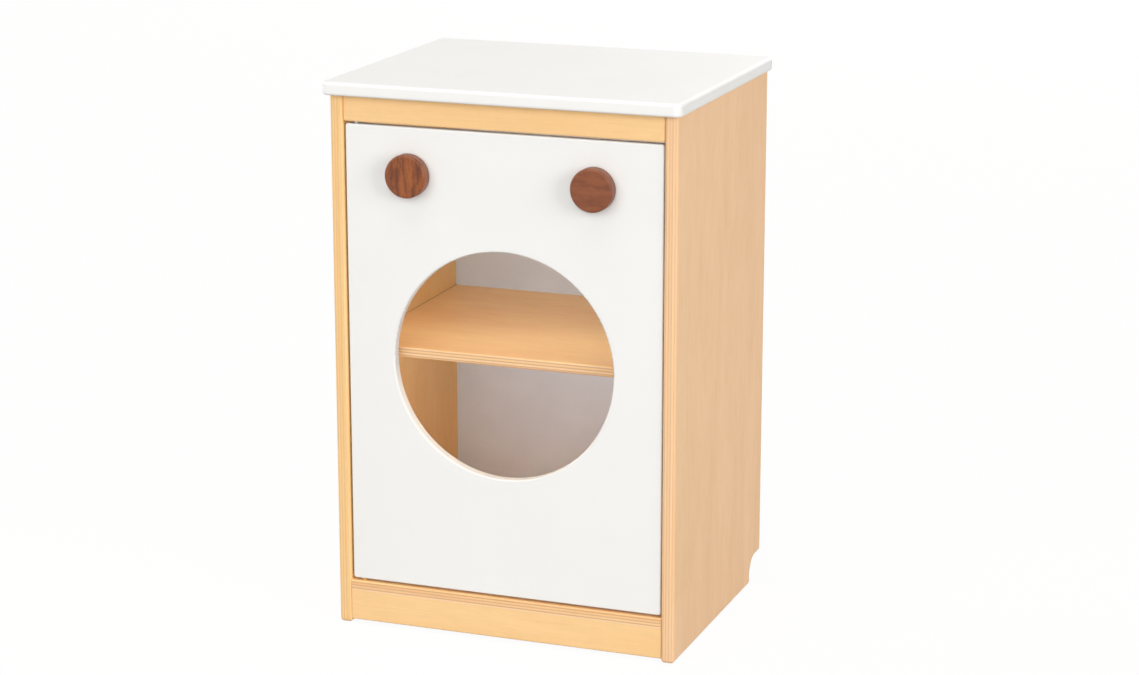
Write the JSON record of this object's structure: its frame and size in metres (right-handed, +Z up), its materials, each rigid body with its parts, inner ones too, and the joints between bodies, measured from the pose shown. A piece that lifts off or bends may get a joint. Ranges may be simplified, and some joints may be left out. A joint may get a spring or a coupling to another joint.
{
  "type": "toy washing machine",
  "caption": "Wooden toy washing machine for role play: plywood cabinet with a white worktop, a hinged porthole door over a shelf, and round turning knobs on the door.",
  "frame": {"origin": "centre of the underside of the whole object's box, on the floor between the feet", "axes": "+Z up, the door faces -Y, +X to the right of someone facing the door"},
  "size_m": [0.412, 0.3396, 0.622],
  "materials": {
    "birch_plywood": "clear satin varnish on birch plywood, layered edges showing",
    "white_board": "white satin lacquer on board",
    "back_board": "thin white-coated hardboard",
    "stained_wood": "dark brown stain under satin varnish",
    "beech_dowel": "raw beech",
    "zinc_steel": "bright zinc plate",
    "nylon": "natural nylon",
    "catch_plastic": "white moulded plastic",
    "ferrite": "sintered ferrite",
    "brass": "turned brass"
  },
  "bodies": {
    "cabinet": {"left_side_panel": "birch_plywood", "right_side_panel": "birch_plywood", "base_panel": "birch_plywood", "shelf": "birch_plywood", "front_rail": "birch_plywood", "rear_rail": "birch_plywood", "front_plinth": "birch_plywood", "back_panel": "back_board", "worktop": "white_board", "carcass_dowels": "beech_dowel", "worktop_brackets": "zinc_steel", "bracket_screws": "zinc_steel", "back_panel_screws": "zinc_steel", "lower_pivot_plate": "zinc_steel", "lower_pivot_pin": "zinc_steel", "lower_pivot_washer": "brass", "upper_pivot_plate": "zinc_steel", "upper_pivot_pin": "zinc_steel", "pivot_plate_screws": "zinc_steel", "catch_housing": "catch_plastic", "catch_magnet": "ferrite", "catch_pole_plates": "zinc_steel", "catch_screws": "zinc_steel"},
    "door": {"door": "white_board", "lower_pivot_bush": "nylon", "upper_pivot_bush": "nylon", "strike_plate": "zinc_steel", "strike_screws": "zinc_steel", "left_knob_bush": "nylon", "right_knob_bush": "nylon", "left_knob_washer": "zinc_steel", "right_knob_washer": "zinc_steel"},
    "left_knob": {"left_knob": "stained_wood", "left_knob_insert": "brass", "left_knob_bolt": "zinc_steel"},
    "right_knob": {"right_knob": "stained_wood", "right_knob_insert": "brass", "right_knob_bolt": "zinc_steel"}
  },
  "joints": [
    {"name": "door_hinge", "type": "hinge", "parent": "cabinet", "child": "door", "pos_m": [-0.172, -0.1492, 0.0535], "axis": [0, 0, -1], "range_deg": [0, 120]},
    {"name": "left_knob_turn", "type": "hinge", "parent": "door", "child": "left_knob", "pos_m": [-0.107, -0.1552, 0.5235], "axis": [0, -1, 0], "continuous": true},
    {"name": "right_knob_turn", "type": "hinge", "parent": "door", "child": "right_knob", "pos_m": [0.107, -0.1552, 0.5235], "axis": [0, -1, 0], "continuous": true}
  ]
}
